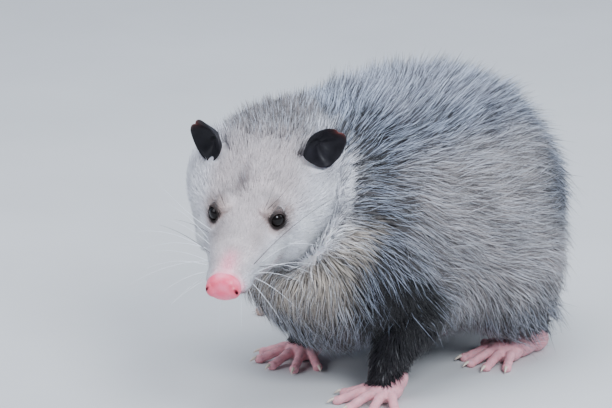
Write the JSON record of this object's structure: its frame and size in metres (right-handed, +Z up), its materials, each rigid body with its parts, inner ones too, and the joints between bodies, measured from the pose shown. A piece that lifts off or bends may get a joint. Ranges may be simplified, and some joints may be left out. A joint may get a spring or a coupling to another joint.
{
  "type": "opossum",
  "caption": "Life-size still model of an adult opossum standing low, head turned to its left, with a white pointed face, dark cupped ears, shaggy grey coat, pink toes and bare tail.",
  "frame": {"origin": "on the floor, under the middle of the whole model's box", "axes": "+Z up; +Y from the head towards the tail; +X to the animal's left"},
  "size_m": [0.2384, 0.3712, 0.2176],
  "materials": {
    "white_fur": "short dense cream-white fur",
    "grey_fur": "long coarse coat, pale underfur with dark tips and white guard hairs",
    "black_fur": "short black fur",
    "pink_skin": "moist bare pink skin",
    "ear_skin": "thin bare black skin with a soft sheen",
    "eye": "glossy black eye",
    "dark_tail": "dark furred root of the tail",
    "pale_tail": "bare scaly skin with sparse bristles"
  },
  "bodies": {
    "root": {"head": "white_fur", "nose": "pink_skin", "eye_left": "eye", "eye_right": "eye", "ear_left": "ear_skin", "ear_right": "ear_skin", "neck": "grey_fur", "torso": "grey_fur", "foreleg_left": "black_fur", "foreleg_right": "black_fur", "hindleg_left": "black_fur", "hindleg_right": "black_fur", "forefoot_left": "pink_skin", "forefoot_right": "pink_skin", "hindfoot_left": "pink_skin", "hindfoot_right": "pink_skin", "tail_base": "dark_tail", "tail_second": "pale_tail", "tail_third": "pale_tail", "tail_tip": "pale_tail"}
  },
  "joints": []
}
